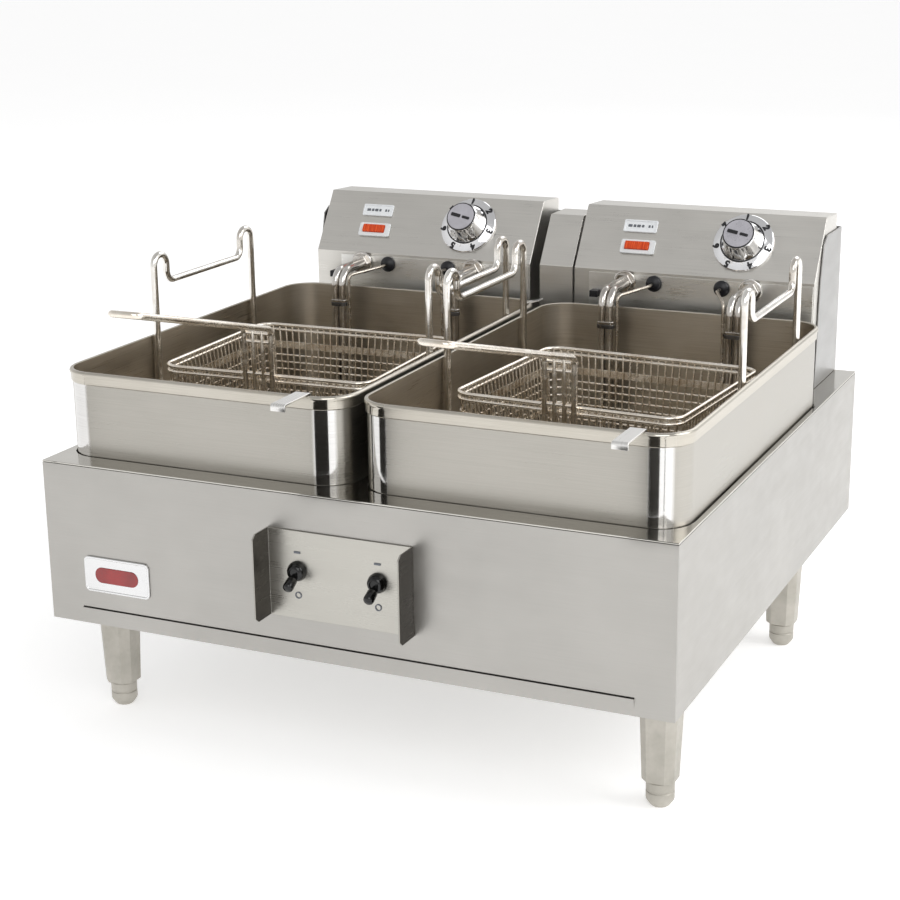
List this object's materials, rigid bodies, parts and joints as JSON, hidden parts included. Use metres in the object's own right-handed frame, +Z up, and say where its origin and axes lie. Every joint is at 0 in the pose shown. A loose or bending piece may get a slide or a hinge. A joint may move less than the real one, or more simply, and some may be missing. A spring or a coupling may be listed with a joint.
{
  "type": "twin-pot countertop deep fryer",
  "caption": "Electric countertop deep fryer: steel cabinet on legs with side-by-side oil pots, wire baskets with handles, basket hangers and sloping control heads with dials and pilot lamps.",
  "frame": {"origin": "on the counter under the middle of the bounding box", "axes": "+Z up, -Y towards the cook, +X to the cook's right"},
  "size_m": [0.61, 0.7112, 0.433],
  "materials": {
    "cabinet_steel": "satin",
    "deck_steel": "bright satin",
    "badge_plate": "satin with a red bar",
    "head_steel": "satin",
    "leg_casting": "cast, satin",
    "black_plastic": "gloss",
    "pot_steel": "satin with mirror corners",
    "screen_steel": "satin",
    "basket_wire": "nickel plated",
    "hanger_wire": "bright plated",
    "element_sheath": "bright alloy sheath",
    "probe_line": "drawn tube",
    "element_plate_steel": "bright satin",
    "dial_chrome": "bright plated",
    "lamp_white": "gloss",
    "lamp_amber": "translucent",
    "label_white": "gloss",
    "black_rubber": "matte"
  },
  "bodies": {
    "fryer": {"bottom_pan": "cabinet_steel", "centre_cover": "head_steel", "crumb_screen_left": "screen_steel", "crumb_screen_right": "screen_steel", "element_left": "element_sheath", "element_plate_left": "element_plate_steel", "element_plate_right": "element_plate_steel", "element_right": "element_sheath", "front_panel": "cabinet_steel", "fry_pot_left": "pot_steel", "fry_pot_right": "pot_steel", "hanger_inner_left": "hanger_wire", "hanger_inner_right": "hanger_wire", "hanger_outer_left": "hanger_wire", "hanger_outer_right": "hanger_wire", "head_casing_left": "head_steel", "head_casing_right": "head_steel", "label_window_left": "label_white", "label_window_right": "label_white", "lamp_bezel_left": "lamp_white", "lamp_bezel_right": "lamp_white", "lamp_lens_left": "lamp_amber", "lamp_lens_right": "lamp_amber", "left_side_panel": "cabinet_steel", "leg_front_left": "leg_casting", "leg_front_right": "leg_casting", "leg_rear_left": "leg_casting", "leg_rear_right": "leg_casting", "limit_grommet_left": "black_rubber", "limit_grommet_right": "black_rubber", "limit_probe_left": "probe_line", "limit_probe_right": "probe_line", "nameplate": "badge_plate", "rear_panel": "cabinet_steel", "rest_pad_left": "black_rubber", "rest_pad_right": "black_rubber", "right_side_panel": "cabinet_steel", "riser_housing": "head_steel", "switch_guard": "cabinet_steel", "thermostat_grommet_left": "black_rubber", "thermostat_grommet_right": "black_rubber", "thermostat_probe_left": "probe_line", "thermostat_probe_right": "probe_line", "toggle_boot_left": "black_plastic", "toggle_boot_right": "black_plastic", "top_deck": "deck_steel"},
    "dial_left": {"dial_left": "dial_chrome"},
    "dial_right": {"dial_right": "dial_chrome"},
    "toggle_left": {"toggle_lever_left": "black_plastic"},
    "toggle_right": {"toggle_lever_right": "black_plastic"},
    "lifting_basket_left": {"basket_left": "basket_wire", "basket_handle_left": "basket_wire"},
    "lifting_basket_right": {"basket_right": "basket_wire", "basket_handle_right": "basket_wire"},
    "screw_foot_front_left": {"foot_front_left": "leg_casting"},
    "screw_foot_front_right": {"foot_front_right": "leg_casting"},
    "screw_foot_rear_left": {"foot_rear_left": "leg_casting"},
    "screw_foot_rear_right": {"foot_rear_right": "leg_casting"}
  },
  "joints": [
    {"name": "dial_turn_left", "type": "hinge", "parent": "fryer", "child": "dial_left", "pos_m": [-0.112, 0.27743, 0.40395], "axis": [0, 0.8341, -0.5516], "range_deg": [0, 270]},
    {"name": "dial_turn_right", "type": "hinge", "parent": "fryer", "child": "dial_right", "pos_m": [0.1995, 0.27743, 0.40395], "axis": [0, 0.8341, -0.5516], "range_deg": [0, 270]},
    {"name": "toggle_flip_left", "type": "hinge", "parent": "fryer", "child": "toggle_left", "pos_m": [-0.039, -0.25666, 0.1895], "axis": [-1, 0, 0], "range_deg": [0, 32]},
    {"name": "toggle_flip_right", "type": "hinge", "parent": "fryer", "child": "toggle_right", "pos_m": [0.039, -0.25666, 0.1895], "axis": [-1, 0, 0], "range_deg": [0, 32]},
    {"name": "basket_lift_left", "type": "slide", "parent": "fryer", "child": "lifting_basket_left", "axis": [0, 0, 1], "range_m": [0, 0.2]},
    {"name": "basket_lift_right", "type": "slide", "parent": "fryer", "child": "lifting_basket_right", "axis": [0, 0, 1], "range_m": [0, 0.2]},
    {"name": "foot_screw_front_left", "type": "slide", "parent": "fryer", "child": "screw_foot_front_left", "axis": [0, 0, -1], "range_m": [0, 0.016]},
    {"name": "foot_screw_front_right", "type": "slide", "parent": "fryer", "child": "screw_foot_front_right", "axis": [0, 0, -1], "range_m": [0, 0.016]},
    {"name": "foot_screw_rear_left", "type": "slide", "parent": "fryer", "child": "screw_foot_rear_left", "axis": [0, 0, -1], "range_m": [0, 0.016]},
    {"name": "foot_screw_rear_right", "type": "slide", "parent": "fryer", "child": "screw_foot_rear_right", "axis": [0, 0, -1], "range_m": [0, 0.016]}
  ]
}
